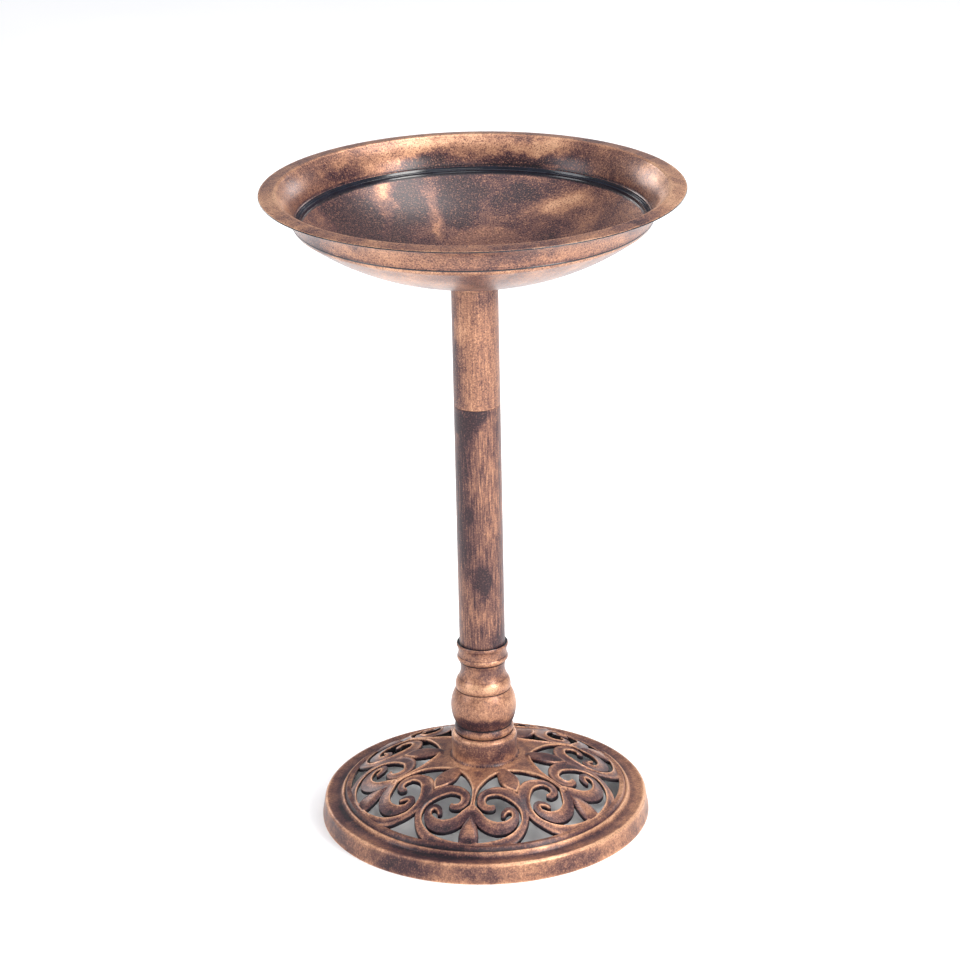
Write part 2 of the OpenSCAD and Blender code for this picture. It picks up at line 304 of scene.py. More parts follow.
def antique_copper(name, seed, cover=0.5, cloud=(12.0, 1.6), streak=((700, 700, 60), 0.6), stipple=0.25,
                   edge_wear_and_highlight_gain=0.15, recess_and_shade_gain=0.7, patches=(), rough=0.40, coat=(0.12, 0.2)):
    """Copper rubbed by hand over dark plastic: clouds, brush marks, stipple, edges brightened by wear and
    partly by a painted highlight, hollows darkened by dark plastic left in them and partly by painted
    shade.

    The patches sit where more or less paint was rubbed on; some of them are painted light and shade
    instead, as marked in the tables.
    """
    n = Nodes(name)
    place = n.place()
    shifted = n.scaled(place, (1, 1, 1), (seed * 0.37, seed * 0.21, seed * 0.53))
    clouds = n.noise(shifted, cloud[0], 3.0, 0.55, 0.8)
    blotches = n.noise(shifted, cloud[0] * 4.3, 3.0, 0.6, 0.4)
    marks = n.noise(n.scaled(shifted, streak[0]), 1.0, 3.0, 0.6)
    grain = n.noise(shifted, 620.0, 2.0, 0.7)
    light_speck = n.math("MULTIPLY", n.math("SUBTRACT", grain, 0.54), 9.0, clamp=True)
    dark_speck = n.math("MULTIPLY", n.math("SUBTRACT", 0.47, grain), 9.0, clamp=True)
    edge = n.add("ShaderNodeAttribute", attribute_name="edge").outputs["Fac"]
    recess_and_shade = n.add("ShaderNodeAttribute", attribute_name="recess_and_shade").outputs["Fac"]

    total = cover
    for source, gain in ((clouds, cloud[1]), (blotches, cloud[1] * 0.5), (marks, streak[1])):
        total = n.math("ADD", n.swing(source, gain), total)
    # Patches get ragged outlines: their coordinates wander by up to half of this many metres.
    wander_by = 0.05
    ragged = n.add("ShaderNodeTexNoise", Scale=28.0, Detail=4.0, Roughness=0.6)
    n.link(place, ragged.inputs["Vector"])
    wander = n.tree.nodes.new("ShaderNodeVectorMath")
    wander.operation = "MULTIPLY_ADD"
    n.link(ragged.outputs["Color"], wander.inputs[0])
    wander.inputs[1].default_value = (wander_by,) * 3
    n.link(n.scaled(place, (1, 1, 1), (-wander_by / 2,) * 3), wander.inputs[2])
    for *sizes, change in patches:
        middle, radii = sizes[:3], sizes[3:]
        shift = [-m / r for m, r in zip(middle, radii)]
        local = n.scaled(wander.outputs[0], [1 / (r * MM) for r in radii], shift)
        total = n.math("ADD", total, n.fade(n.length(local), 0.35, 1.35, change, 0.0))
    # Edges brightened: worn copper, and partly a painted highlight.
    total = n.math("ADD", total, n.math("MULTIPLY", edge, edge_wear_and_highlight_gain))
    total = n.math("MINIMUM", n.math("MAXIMUM", total, 0.10), 0.95)
    paint = n.math("MULTIPLY", n.math("SUBTRACT", 1.0, total), light_speck)
    bare = n.math("MULTIPLY", n.math("MULTIPLY", total, 0.65), dark_speck)
    total = n.math("ADD", n.math("MULTIPLY", n.math("SUBTRACT", paint, bare), stipple), total)
    # Hollows and creases darkened: dark plastic left in them, and partly painted shade.
    total = n.math("SUBTRACT", total, n.math("MULTIPLY", recess_and_shade, recess_and_shade_gain), clamp=True)

    n.feed("Base Color", n.ramp(total, COPPER_STOPS))
    n.feed("Metallic", n.math("MULTIPLY", total, 0.55, clamp=True))
    n.feed("Roughness", n.math("ADD", n.swing(grain, 0.5), rough))
    n.feed("Coat Weight", coat[0])
    n.feed("Coat Roughness", coat[1])
    n.feed("Specular IOR Level", 0.3)
    height = n.math("ADD", n.math("MULTIPLY", grain, 0.6), n.math("MULTIPLY", marks, 0.4))
    n.bump(height, 0.5, 0.0004)
    return n.material


def bare_plastic(name, rough=0.18):
    """Unpainted glossy blue-black moulding with a faint flow pattern."""
    n = Nodes(name)
    place = n.place()
    flow = n.noise(place, 45.0, 3.0, 0.6, 0.5)
    dust = n.noise(place, 900.0, 2.0, 0.6)
    n.feed("Base Color", n.ramp(flow, [(0.3, (0.006, 0.007, 0.014)), (0.7, (0.014, 0.017, 0.030))]))
    n.feed("Roughness", n.math("ADD", n.math("MULTIPLY", dust, 0.18), rough - 0.09))
    n.bump(dust, 0.15, 0.0001)
    return n.material


def zinc_steel(name):
    """Dull zinc plating with fine turning marks and a few darker clouds."""
    n = Nodes(name)
    place = n.place()
    clouds = n.noise(place, 120.0, 4.0, 0.6)
    marks = n.noise(n.scaled(place, (300, 300, 5000)), 1.0, 2.0, 0.6)
    n.feed("Base Color", n.ramp(clouds, [(0.3, (0.42, 0.43, 0.45)), (0.7, (0.68, 0.68, 0.66))]))
    n.feed("Metallic", 1.0)
    n.feed("Roughness", n.math("ADD", n.math("MULTIPLY", clouds, 0.3), 0.2))
    n.bump(marks, 0.2, 0.0001)
    return n.material


# Middle and radii in millimetres, then the change of cover; rows marked below are painted light or shade.
BOWL_COVER_AND_LIGHT_PATCHES = [
    (-55, -105, 622, 110, 80, 22, -0.16),
    # Painted shade over the whole dish floor.
    (0, 30, 625, 200, 170, 30, -0.18),
    (-118, 85, 645, 40, 55, 60, -0.35),
    (-66, 128, 660, 26, 45, 30, -0.45),
    (-12, 140, 660, 26, 50, 30, -0.50),
    (50, 140, 665, 40, 24, 30, -0.40),
    (0, -10, 620, 110, 45, 30, -0.34),
    (-95, 120, 650, 10, 60, 40, 0.28),
    (-40, 120, 650, 8, 50, 40, 0.26),
    (20, 80, 635, 65, 30, 30, 0.28),
    (100, 115, 650, 34, 24, 30, 0.25),
    (-58, 184, 690, 40, 20, 9, -0.40),
    (70, 176, 690, 56, 20, 9, -0.42),
    (-140, 126, 692, 30, 30, 10, -0.35),
    # Painted highlight along the upper back wall.
    (0, 186, 702, 150, 30, 10, 0.32),
    # Painted light on the front of the outer wall.
    (0, -200, 690, 250, 60, 20, 0.20),
    (205, 10, 708, 40, 110, 12, 0.30),
    (-205, -20, 708, 40, 110, 12, 0.18),
    (60, -212, 709, 60, 14, 6, -0.22),
    (-80, -196, 686, 40, 20, 10, -0.22),
    (60, -200, 690, 50, 20, 8, -0.25),
]
LOWER_PATCHES = [
    (-8, -22, 462, 18, 24, 16, -0.45),
    (-18, -17, 385, 13, 20, 100, -0.25),
    (-1, -24, 282, 11, 20, 24, -0.45),
    (11, -22, 390, 10, 20, 100, 0.15),
    (2, -24, 225, 26, 24, 26, 0.15),
]
UPPER_COVER_AND_SHADE_PATCHES = [
    # Painted shade down the left side.
    (-26, -6, 545, 14, 30, 90, -0.28),
    (14, -20, 600, 13, 20, 12, -0.25),
    # Painted shade down the left front.
    (-18, -16, 530, 8, 20, 70, -0.14),
]
BASE_COVER_AND_LIGHT_PATCHES = [
    (0, 0, 60, 85, 85, 20, 0.22),
    (22, -28, 78, 22, 22, 14, -0.25),
    (-50, -150, 26, 66, 20, 12, -0.32),
    (60, -150, 24, 60, 16, 12, -0.15),
    (-150, -60, 24, 20, 50, 20, -0.22),
    (155, -40, 22, 30, 80, 20, 0.18),
    (-90, -145, 10, 50, 40, 12, -0.20),
    (90, -148, 10, 30, 30, 12, -0.20),
    # Painted light on the front of the hub.
    (-8, -48, 64, 60, 34, 10, 0.22),
]
BALUSTER_COVER_AND_LIGHT_PATCHES = [
    # Painted shade under the bulb, where it curves in to the foot ring.
    (0, 0, 109, 100, 100, 9, -0.50),
    # Painted shade under the ring.
    (0, 0, 177, 100, 100, 7, -0.20),
    # Painted highlight on the front of the shoulder.
    (4, -30, 156, 30, 20, 8, 0.18),
    (0, 0, 199, 100, 100, 4, -0.20),
]
# The bowl's strong edge gain paints a highlight along its crest.
BOWL_COPPER = antique_copper(
    "bowl_copper", 3.1, cover=0.46, cloud=(10.0, 1.3), streak=((330, 330, 330), 0.4),
    stipple=0.6, edge_wear_and_highlight_gain=0.4, recess_and_shade_gain=0.9, patches=BOWL_COVER_AND_LIGHT_PATCHES,
    rough=0.33, coat=(0.18, 0.2))
BASE_COPPER = antique_copper(
    "base_copper", 5.7, cover=0.48, cloud=(16.0, 1.1), streak=((260, 260, 260), 0.5),
    stipple=0.42, edge_wear_and_highlight_gain=0.45, recess_and_shade_gain=1.2, patches=BASE_COVER_AND_LIGHT_PATCHES)
BALUSTER_COPPER = antique_copper(
    "baluster_copper", 2.3, cover=0.68, cloud=(24.0, 0.7), streak=((400, 400, 250), 0.5),
    stipple=0.4, edge_wear_and_highlight_gain=0.12, recess_and_shade_gain=1.2, patches=BALUSTER_COVER_AND_LIGHT_PATCHES)
UPPER_COPPER = antique_copper(
    "upper_tube_copper", 7.9, cover=0.62, cloud=(14.0, 0.5), streak=((500, 500, 35), 0.8),
    stipple=0.5, edge_wear_and_highlight_gain=0.05, recess_and_shade_gain=0.5, patches=UPPER_COVER_AND_SHADE_PATCHES)
LOWER_COPPER = antique_copper(
    "lower_tube_copper", 1.4, cover=0.4, cloud=(10.0, 0.7), streak=((620, 620, 45), 1.4),
    stipple=0.35, edge_wear_and_highlight_gain=0.05, recess_and_shade_gain=0.5, patches=LOWER_PATCHES)
BLACK_PLASTIC = bare_plastic("black_plastic")
ZINC = zinc_steel("zinc_plate")


# ---- turned pieces
def build_bowl():
    """Dished bowl with a thin flat lip, a flared wall, a bare ledge and a spigot underneath."""
    lip_w, wall_h, dish_a, skin_t, wall_bow = 17.0, 30.5, 250.0, 3.0, 2.5
    crest_r = BOWL_R - lip_w
    groove_z, groove_r = HEIGHT - wall_h, crest_r - 20.0
    ledge_z = groove_z - 2.3
    dish_edge, dish_edge_z, dish_floor = groove_r - 5.3, groove_z - 6.3, SEAT_Z + 6.3
    dish_b = (dish_edge_z - dish_floor) / (1 - math.sqrt(1 - (dish_edge / dish_a) ** 2))
    seat_r, spigot_r, spigot_wall = TUBE_R + 0.6, 19.0, 3.0

    def dish(r):
        return dish_floor + dish_b * (1 - math.sqrt(1 - (r / dish_a) ** 2))

    def under(r):
        slope = dish_b * r / dish_a ** 2 / math.sqrt(1 - (r / dish_a) ** 2)
        return dish(r) - skin_t * math.hypot(1, slope)

    crest_in, crest_out = (crest_r - 2.5, HEIGHT - 1.9), (crest_r + 2.5, HEIGHT - 0.17)
    wall_foot, lip_edge = (groove_r + 0.8, groove_z + 0.6), (BOWL_R - 0.5, HEIGHT - 1.7)
    heel = (groove_r + 3.6, groove_z - 0.6)
    rows = 46
    inside = [(dish_edge * i / rows, dish(dish_edge * i / rows)) for i in range(rows)]
    inside += arc((dish_edge, dish_edge_z), (dish_edge + 0.8, ledge_z - 0.5), 0.25, 5)
    inside += arc((dish_edge + 0.8, ledge_z - 0.5), (dish_edge + 1.5, ledge_z), -0.15, 5)
    inside += arc((dish_edge + 1.5, ledge_z), (groove_r - 0.3, ledge_z - 0.2), 0.35, 8)
    inside += [(groove_r - 0.2, groove_z - 0.5), (groove_r + 0.1, groove_z)]
    inside += [wall_foot] + arc(crest_in, wall_foot, wall_bow, 24)[:0:-1]
    inside += arc(crest_in, crest_out, -0.8, 12)
    inside += arc(crest_out, lip_edge, -0.2, 8)
    outside = arc(lip_edge, (BOWL_R - 0.6, HEIGHT - 3.0), -0.5, 8)
    outside += [(BOWL_R - 0.8, HEIGHT - 3.1), (crest_r + 4, HEIGHT - 2.7)]
    outside += arc((crest_r + 1.8, HEIGHT - 4.4), heel, wall_bow, 20)
    outside += [heel, (heel[0] + 0.2, heel[1] - 0.4), (heel[0] - 0.2, heel[1] - 1.6)]
    outside += [(heel[0] - 1.4, heel[1] - 3.9), (groove_r - 0.6, dish_edge_z - 0.6)]
    outside += [(dish_edge * i / rows, under(dish_edge * i / rows)) for i in range(rows, 6, -1)]
    outside += [(seat_r, under(seat_r)), (seat_r, SEAT_Z), (spigot_r, SEAT_Z)]
    outside += [(spigot_r, SPIGOT_BOTTOM + 1.5), (spigot_r - 1.5, SPIGOT_BOTTOM)]
    spigot_bore = spigot_r - spigot_wall
    outside += [(spigot_bore, SPIGOT_BOTTOM), (spigot_bore, SEAT_Z + 1), (0, SEAT_Z + 1)]

    def bare(r, z):
        ledge = dish_edge - 0.1 < r < groove_r + 0.4 and dish_edge_z + 0.8 < z < groove_z + 0.3
        # The dark line round the lip's outer edge: bare plastic, and partly a painted shadow under the lip.
        lip_line = r > BOWL_R - 1.6 and z < HEIGHT - 1.75
        step_line = r > groove_r + 2.0 and heel[1] - 1.7 < z < heel[1] - 0.1
        return ledge or lip_line or step_line

    return lathe("bowl_shell", inside + outside, [BOWL_COPPER, BLACK_PLASTIC], "bowl", 288, 4.0, 2.2, bare)


def build_baluster():
    """Turned foot of the post: foot ring, bulb, shoulder, neck, ring and lip, hollow inside."""
    ring_top, bulb_top, neck_low, neck_top, lip_neck, lip_low = 105.8, 147.6, 161.0, 180.2, 187.0, 197.8
    foot_r, shoulder_r, neck_r, waist_r, lip_r, cavity_r = 29.9, 29.6, 26.8, 25.6, 27.7, 26.5
    bore, plug, rod_room = TUBE_R + 0.1, TUBE_BORE - FIT, 16.5
    outline = arc((foot_r, FOOT_Z), (foot_r, ring_top), 2.3, 14)
    outline += arc((foot_r, ring_top + 0.2), (foot_r - 0.3, bulb_top), 5.8, 30)
    outline += [(shoulder_r - 0.6, bulb_top + 0.3)]
    outline += arc((shoulder_r, bulb_top + 0.7), (neck_r, neck_low), 1.5, 12)
    outline += arc((neck_r, neck_low), (waist_r, neck_top), -2.2, 14)
    outline += [(waist_r - 0.3, neck_top + 0.4)]
    outline += arc((waist_r + 0.3, neck_top + 0.8), (waist_r + 1.3, lip_neck), 1.3, 12)
    outline += arc((waist_r + 1.3, lip_neck), (lip_r, lip_low), -1.0, 10)
    outline += arc((lip_r, lip_low), (lip_r - 0.4, LIP_TOP - 0.3), 0.5, 8)
    outline += arc((lip_r - 0.4, LIP_TOP - 0.3), (lip_r - 0.8, LIP_TOP), 0.1, 3)
    outline += [(lip_r - 0.8, LIP_TOP), (bore, LIP_TOP), (bore, TUBE_FOOT_Z), (plug, TUBE_FOOT_Z)]
    outline += [(plug, SPIGOT_TOP - 2), (plug - 2, SPIGOT_TOP), (rod_room, SPIGOT_TOP)]
    outline += [(rod_room, TUBE_FOOT_Z - 8)]
    outline += [(cavity_r, bulb_top - 6), (31, bulb_top - 18), (30, 111.8), (cavity_r - 0.5, FOOT_Z + 4)]
    outline += [(ROD_HOLE, FOOT_Z + 4), (ROD_HOLE, FOOT_Z)]

    def bare(r, z):
        return (z > LIP_TOP - 0.4 and r < lip_r - 0.2) or (z > TUBE_FOOT_Z and r < bore + 0.05)

    finishes = [BALUSTER_COPPER, BLACK_PLASTIC]
    return lathe("baluster_turned", outline, finishes, "baluster", 192, 2.0, 1.0, bare, 50)


def build_tube(name, node, material):
    """Section of the post, with its outer corners just broken."""
    low, high = span(node, 2)
    brk = 0.4
    outline = [(TUBE_BORE, low)] + arc((TUBE_R - brk, low), (TUBE_R, low + brk), -0.12, 4)
    outline += [(TUBE_R, low + brk)] + arc((TUBE_R, high - brk), (TUBE_R - brk, high), -0.12, 4)
    outline += [(TUBE_R - brk, high), (TUBE_BORE, high)]
    return lathe(name, outline, [material], node, 160, 4.0, 0.8)


def build_coupler():
    """Sleeve inside the joint of the two tubes, chamfered at both ends."""
    low, high = span("tube_coupler", 2)
    outer, wall = span("tube_coupler", 0)[1], 3
    inner = outer - wall
    outline = [(inner, low + 0.6), (inner + 0.6, low), (outer - 0.8, low), (outer, low + 1.2)]
    outline += [(outer, high - 1.2), (outer - 0.8, high), (inner + 0.6, high), (inner, high - 0.6)]
    return lathe("coupler_sleeve", outline, [BLACK_PLASTIC], "tube_coupler", 128, 4.0, 0.8)


def build_socket():
    """Plug in the top of the post with a flange, a chamfered socket and a floor for the nut."""
    floor_top, flange_t, socket_r = SOCKET_BOTTOM + 8, 2.5, 19.4
    plug = TUBE_BORE - FIT
    outline = [(ROD_HOLE, SOCKET_BOTTOM), (plug - 1, SOCKET_BOTTOM), (plug, SOCKET_BOTTOM + 1)]
    flange_z = SEAT_Z - flange_t
    outline += [(plug, flange_z), (TUBE_R - 0.3, flange_z), (TUBE_R, flange_z + 0.3)]
    outline += arc((TUBE_R, SEAT_Z - 0.5), (TUBE_R - 0.5, SEAT_Z), -0.15, 4)
    outline += [(TUBE_R - 0.5, SEAT_Z), (socket_r + 1, SEAT_Z), (socket_r, SEAT_Z - 1)]
    outline += [(socket_r, floor_top), (ROD_HOLE, floor_top)]

    def inside(r, z):
        return r < TUBE_R - 0.6 and z < SEAT_Z - 1.2

    finishes = [UPPER_COPPER, BLACK_PLASTIC]
    return lathe("socket_plug", outline, finishes, "bowl_socket", 160, 3.0, 0.8, inside)


# ---- hardware
def build_rod():
    """Tie rod with a rolled thread on the last stretch of each end."""
    pitch, depth, per_turn, sides, threaded = 1.25, 0.7, 8, 32, 26.0
    heights = list(np.arange(ROD_BOTTOM, ROD_BOTTOM + threaded, pitch / per_turn))
    heights += list(np.arange(ROD_BOTTOM + threaded, ROD_TOP - threaded, 12.0))
    heights += list(np.arange(ROD_TOP - threaded, ROD_TOP, pitch / per_turn)) + [ROD_TOP]
    verts, faces = [(0, 0, ROD_BOTTOM)], []
    for z in heights:
        end = min(z - ROD_BOTTOM, ROD_TOP - z)
        taper = max(0.0, 1.0 - end)
        fade = min(1.0, max(0.0, (threaded - end) / 2))
        for i in range(sides):
            a = 2 * math.pi * i / sides
            phase = (z / pitch - i / sides) % 1.0
            cut = depth * abs(2 * phase - 1) * fade
            r = min(ROD_R - cut, ROD_R - taper)
            verts.append((r * math.cos(a), r * math.sin(a), z))
    verts.append((0, 0, ROD_TOP))
    for k in range(len(heights) - 1):
        for i in range(sides):
            a, b = 1 + k * sides + i, 1 + k * sides + (i + 1) % sides
            faces.append((a, b, b + sides, a + sides))
    top = 1 + (len(heights) - 1) * sides
    for i in range(sides):
        j = (i + 1) % sides
        faces.append((0, 1 + j, 1 + i))
        faces.append((len(verts) - 1, top + i, top + j))
    return make_piece("rod_threaded", verts, faces, [ZINC], node="tie_rod", crease=50)


def ring_stack(rings):
    """Faces and points for rings of equal count joined in order, closed end to end."""
    count = len(rings[0])
    verts = [p for ring in rings for p in ring]
    faces = []
    for k in range(len(rings)):
        low, high = k * count, (k + 1) % len(rings) * count
        for i in range(count):
            j = (i + 1) % count
            faces.append((low + i, low + j, high + j, high + i))
    return verts, faces


def spin(section_at, sides, z):
    """Rings of points round the axis, from the section of (radius, height) at each turn."""
    sections = []
    for i in range(sides):
        a = 2 * math.pi * i / sides
        sections.append([(r * math.cos(a), r * math.sin(a), z + level) for r, level in section_at(a)])
    return list(zip(*sections))


def nut_rings(z, height, flats, bore):
    """Hex nut with chamfered corners and a countersunk bore."""
    def section_at(a):
        corner = flats / 2 / math.cos((a + math.pi / 6) % (math.pi / 3) - math.pi / 6)
        drop = max(0.0, corner - flats / 2 * 0.98) * 0.6 + 0.05
        face_r = flats / 2 * 0.95
        bored = [(bore + 0.5, 0), (bore, 0.5), (bore, height - 0.5), (bore + 0.5, height)]
        top = [(face_r, height), (corner - 0.05, height - drop), (corner, height - drop - 0.15)]
        return bored + top + [(corner, drop + 0.15), (corner - 0.05, drop), (face_r, 0)]

    return spin(section_at, 72, z)


def washer_rings(z, height, outer, bore):
    """Flat washer with one rolled edge and one sharp edge, as stamped."""
    section = [(bore, 0.2), (bore, height - 0.1), (bore + 0.1, height), (outer - 0.5, height)]
    section += [(outer - 0.15, height - 0.15), (outer, height - 0.5), (outer, 0.1), (outer - 0.1, 0)]
    section += [(bore + 0.2, 0)]
    return spin(lambda a: section, 96, z)


def build_pair(name, node, rings_at, height, size, bore):
    """Two like fasteners, one at each end of the node's span."""
    low, high = span(node, 2)
    verts, faces = [], []
    for z in (low, high - height):
        part_verts, part_faces = ring_stack(rings_at(z, height, size, bore))
        faces += [tuple(v + len(verts) for v in face) for face in part_faces]
        verts += part_verts
    return make_piece(name, verts, faces, [ZINC], node=node, crease=30)


# ---- scroll base
# Middle lines of the bands of one motif, as x across from its axis, v out from the middle, width.
OUTER_SCROLL = [(0, 151, 9), (20, 148, 9), (38, 141.5, 9.5), (50.5, 131.5, 9.5), (57, 118, 8),
                (57, 106, 9), (52, 94, 12), (40, 83.5, 15), (25, 79, 14.5), (11.5, 85.5, 11.5),
                (8.5, 96.5, 10), (13, 104, 8.5), (20, 105, 7), (22.5, 103.5, 6)]
INNER_SCROLL = [(1, 107, 8), (6, 114.5, 11), (15, 124, 12.5), (28, 127.5, 13), (40, 123.5, 12),
                (47, 113.5, 8.5), (45.5, 105, 8), (40, 103, 7.5), (35.5, 107, 6.5), (34, 112, 5.5)]
LEAF = [(0, 115, 1), (0, 122, 8), (0, 131, 17), (0, 139, 21.5), (0, 148, 20)]
LOBE = [(0, 52, 14), (0, 58, 17), (0, 66, 21), (0, 74, 19), (0, 82, 10), (0, 89, 1)]
# Edge of the hub plate, from beside a petal out along the thin arm to the middle of a motif.
HUB_ARC = [(34.5, 39.0, 0), (24.9, 43.1, 0), (15.5, 53, 0), (9.25, 64, 0), (4.75, 75, 0),
           (2.75, 86, 0), (2.25, 97, 0), (3.5, 108, 0)]
HUB_TIP = 110.0
LEAF_END = 146.3
CREVICE = -2.4  # depth of the crevices between bands
RIM_DROP = -0.2  # level of the ring outside the openings
MOTIFS = 6
MOTIF_TURN = math.radians(-8)
WEDGE = math.pi / MOTIFS
OPEN_R = BASE_R - 32.3
HUB_R = 49.0
PATTERN = OPEN_R / 147


def smooth_path(points, steps=6):
    """Catmull-Rom curve through (x, v, width) points, scaled to the base."""
    p = np.array(points, float) * PATTERN
    p = np.vstack([p[0], p, p[-1]])
    out = []
    for i in range(1, len(p) - 2):
        a, b, c, d = p[i - 1], p[i], p[i + 1], p[i + 2]
        for j in range(steps):
            t = j / steps
            out.append((2 * b + (c - a) * t + (2 * a - 5 * b + 4 * c - d) * t ** 2
                        + (3 * b - a - 3 * c + d) * t ** 3) / 2)
    out.append(p[-2])
    return np.array(out)


def turned(path, angle, flip):
    """A path flipped across the leaf's axis and turned about the middle of the base."""
    x = -path[:, 0] if flip else path[:, 0]
    c, s = math.cos(angle), math.sin(angle)
    return np.stack([x * c + path[:, 1] * s, -x * s + path[:, 1] * c, path[:, 2]], 1)


def band_distance(x, v, path):
    """Distance inside a band's nearest edge, offset across the band and its half-width there."""
    best = np.full(x.shape, -1e9)
    across = np.zeros(x.shape)
    half = np.ones(x.shape)
    for a, b in zip(path[:-1], path[1:]):
        d = b[:2] - a[:2]
        length = max(math.hypot(*d), 1e-6)
        t = np.clip(((x - a[0]) * d[0] + (v - a[1]) * d[1]) / length ** 2, 0, 1)
        gap = np.hypot(x - a[0] - t * d[0], v - a[1] - t * d[1])
        here = (a[2] + t * (b[2] - a[2])) / 2
        nearer = here - gap > best
        best = np.where(nearer, here - gap, best)
        half = np.where(nearer, here, half)
        side = np.sign((x - a[0]) * d[1] - (v - a[1]) * d[0])
        across = np.where(nearer, gap * side, across)
    return best, across, half


def line_distance(x, v, line):
    """Distance from a line, positive on its left."""
    best = np.full(x.shape, 1e9)
    side = np.ones(x.shape)
    for a, b in zip(line[:-1], line[1:]):
        d = b[:2] - a[:2]
        t = np.clip(((x - a[0]) * d[0] + (v - a[1]) * d[1]) / max(d @ d, 1e-9), 0, 1)
        gap = np.hypot(x - a[0] - t * d[0], v - a[1] - t * d[1])
        nearer = gap < best
        best = np.where(nearer, gap, best)
        side = np.where(nearer, np.sign(d[0] * (v - a[1]) - d[1] * (x - a[0])), side)
    return best * side


def copies(points):
    """A band, its mirror image and the nearest band of the next motif, each with its turn."""
    path = smooth_path(points)
    return [(turned(path, 0, False), 1), (turned(path, 0, True), -1), (turned(path, 2 * WEDGE, True), -1)]


OUTER = copies(OUTER_SCROLL)
INNER = copies(INNER_SCROLL)
LEAVES = [turned(smooth_path(LEAF), 0, False), turned(smooth_path(LEAF), 2 * WEDGE, False)]
PETAL = turned(smooth_path(LOBE), WEDGE, False)
HUB_EDGE = smooth_path(HUB_ARC)
HUB_MIRROR = HUB_EDGE * np.array([-1, 1, 1])


def strongest(x, v, bands):
    """The band of a kind that a point is deepest in: distance, offset towards its scroll, half-width."""
    best, inward, half = np.full(x.shape, -1e9), np.zeros(x.shape), np.ones(x.shape)
    for path, turn in bands:
        d, across, width = band_distance(x, v, path)
        take = d > best
        best = np.where(take, d, best)
        inward = np.where(take, across * turn, inward)
        half = np.where(take, width, half)
    return best, inward, half


def hub_distances(x, v):
    """Distances inside the hub plate from its edges on this side and on the other side."""
    tip = HUB_TIP * PATTERN - v
    return np.minimum(line_distance(x, v, HUB_EDGE), tip), np.minimum(-line_distance(x, v, HUB_MIRROR), tip)


def smooth_max(a, b, k=1.2):
    h = np.clip(0.5 + 0.5 * (a - b) / k, 0, 1)
    return b + (a - b) * h + k * h * (1 - h)


def solid_distance(x, v):
    """Distance inside the whole openwork, with small fillets where bands meet."""
    out = strongest(x, v, OUTER)[0]
    near, far = hub_distances(x, v)
    fields = [strongest(x, v, INNER)[0], band_distance(x, v, PETAL)[0], np.minimum(near, far)]
    fields += [band_distance(x, v, leaf)[0] for leaf in LEAVES] + [np.hypot(x, v) - OPEN_R]
    for field in fields:
        out = smooth_max(out, field)
    return out


def ease(low, high, value):
    t = np.clip((value - low) / (high - low), 0, 1)
    return t * t * (3 - 2 * t)


def bump_over(distance, middle, width):
    """Half-round bead across a distance."""
    return np.sqrt(np.clip(1 - ((distance - middle) / width) ** 2, 0, 1))


def drop_over(distance, width):
    """Quarter-round rise from an edge, level beyond width."""
    return np.sqrt(np.clip(1 - (1 - np.clip(distance / width, 0, 1)) ** 2, 0, 1))


def line_over(distance, middle, width):
    """Soft line along a distance."""
    return np.exp(-((distance - middle) / width) ** 2)


